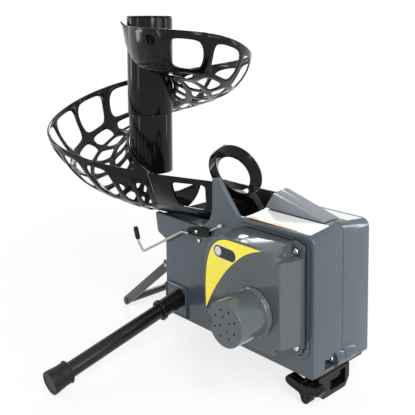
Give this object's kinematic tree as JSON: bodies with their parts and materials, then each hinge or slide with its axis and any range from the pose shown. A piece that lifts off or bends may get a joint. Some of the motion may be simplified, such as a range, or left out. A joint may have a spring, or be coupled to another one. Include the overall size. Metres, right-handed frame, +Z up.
{
  "type": "soft toss machine",
  "caption": "Battery-driven ball tosser: a sprung ring arm in a grey housing, fed by a black openwork spiral ramp round a column, standing on two legs, a stand and a tilting foot.",
  "frame": {"origin": "centre of the footprint on the floor the machine stands on", "axes": "+Z up; +X from the ball ramp to the end of the housing that faces the batter; Y = 0 is the seam plane between the housing's halves"},
  "size_m": [0.5982, 0.588, 0.506],
  "materials": {
    "shell_grey": "satin",
    "cover_grey": "satin",
    "gloss_black": "gloss",
    "satin_black": "satin",
    "rubber": "matt",
    "ridge_grey": "satin",
    "steel": "bright",
    "motor_can": "plated can",
    "strap_steel": "satin",
    "gear_white": "natural",
    "circuit_green": "satin",
    "cell_jacket": "printed jacket"
  },
  "bodies": {
    "housing": {"near_shell": "shell_grey", "far_shell": "shell_grey", "seam_screw": "steel", "top_ridge": "ridge_grey", "throat_liner": "satin_black", "stop_bumper": "rubber", "gearbox_cover": "cover_grey", "cover_screw_top": "steel", "cover_screw_low": "steel", "motor_cap": "cover_grey", "motor": "motor_can", "gear_frame": "steel", "drive_axle": "steel", "near_bush": "gear_white", "far_bush": "satin_black", "base_plate": "satin_black", "battery_tray": "satin_black", "battery_cell_1": "cell_jacket", "battery_cell_2": "cell_jacket", "battery_cell_3": "cell_jacket", "battery_cell_4": "cell_jacket", "circuit_board": "circuit_green", "switch_body": "satin_black", "stop_screw": "steel", "stand_bracket": "strap_steel", "stand_rod": "steel", "near_leg_socket": "satin_black", "far_leg_socket": "satin_black", "lever_rivet": "steel"},
    "arm": {"throwing_arm": "satin_black", "arm_shaft": "steel", "arm_gear": "gear_white", "arm_spring": "steel"},
    "drive_wheel": {"drive_gear": "gear_white"},
    "pinion": {"motor_pinion": "steel"},
    "lever": {"lever_plate": "satin_black", "lever_wire": "steel", "lever_grip": "rubber", "lever_tip_screw": "steel"},
    "foot": {"tilting_foot": "satin_black", "bolt_nut": "steel"},
    "knob": {"star_knob": "satin_black", "knob_bolt": "steel"},
    "stand": {"stand_strap_near": "strap_steel", "stand_strap_far": "strap_steel", "stand_cross_bar": "strap_steel"},
    "near_leg": {"near_leg_tube": "satin_black", "near_leg_foot": "rubber"},
    "far_leg": {"far_leg_tube": "satin_black", "far_leg_foot": "rubber"},
    "door": {"battery_door": "satin_black"},
    "switch": {"power_switch": "rubber"},
    "feeder": {"column_upper": "gloss_black", "column_lower": "gloss_black", "column_cap": "gloss_black", "ramp_upper": "gloss_black", "ramp_middle": "gloss_black", "ramp_lower": "gloss_black", "exit_chute": "gloss_black"}
  },
  "joints": [
    {"name": "arm_swing", "type": "hinge", "parent": "housing", "child": "arm", "pos_m": [0.1745, 0, 0.169], "axis": [0, -1, 0], "range_deg": [0, 45], "stiffness_Nm_per_rad": 1, "springref_deg": -28.65},
    {"name": "drive_gear_turn", "type": "hinge", "parent": "housing", "child": "drive_wheel", "pos_m": [0.20986, -0.075, 0.14924], "axis": [0, -1, 0], "range_deg": [-36.1, 0]},
    {"name": "pinion_turn", "type": "hinge", "parent": "housing", "child": "pinion", "pos_m": [0.2305, -0.085, 0.1235], "axis": [0, -1, 0], "range_deg": [0, 122.5]},
    {"name": "lever_swing", "type": "hinge", "parent": "housing", "child": "lever", "pos_m": [0.074, -0.064, 0.184], "axis": [0, 1, 0], "range_deg": [-12, 8]},
    {"name": "foot_tilt", "type": "hinge", "parent": "housing", "child": "foot", "pos_m": [0.275, -0.012, 0.018], "axis": [0, 1, 0], "range_deg": [0, 35]},
    {"name": "knob_turn", "type": "hinge", "parent": "housing", "child": "knob", "pos_m": [0.275, -0.052, 0.018], "axis": [0, 1, 0], "range_deg": [-11, 11]},
    {"name": "stand_fold", "type": "hinge", "parent": "housing", "child": "stand", "pos_m": [-0.0185, 0, 0.1045], "axis": [0, -1, 0], "range_deg": [0, 48]},
    {"name": "near_leg_pull", "type": "slide", "parent": "housing", "child": "near_leg", "axis": [0, -0.9751, -0.2215], "range_m": [0, 0.06]},
    {"name": "far_leg_pull", "type": "slide", "parent": "housing", "child": "far_leg", "axis": [0, 0.9751, -0.2215], "range_m": [0, 0.06]},
    {"name": "door_swing", "type": "hinge", "parent": "housing", "child": "door", "pos_m": [0.1291, 0.0642, 0.0403], "axis": [-1, 0, 0], "range_deg": [0, 100]},
    {"name": "switch_rock", "type": "hinge", "parent": "housing", "child": "switch", "pos_m": [0.2455, 0.0573, 0.19], "axis": [1, 0, 0], "range_deg": [-12, 0]},
    {"name": "feeder_pull", "type": "slide", "parent": "housing", "child": "feeder", "axis": [-1, 0, 0], "range_m": [0, 0.06]}
  ],
  "couplings": [
    {"joint": "drive_gear_turn", "follows": "arm_swing", "ratio": -0.8},
    {"joint": "pinion_turn", "follows": "arm_swing", "ratio": 2.72}
  ]
}
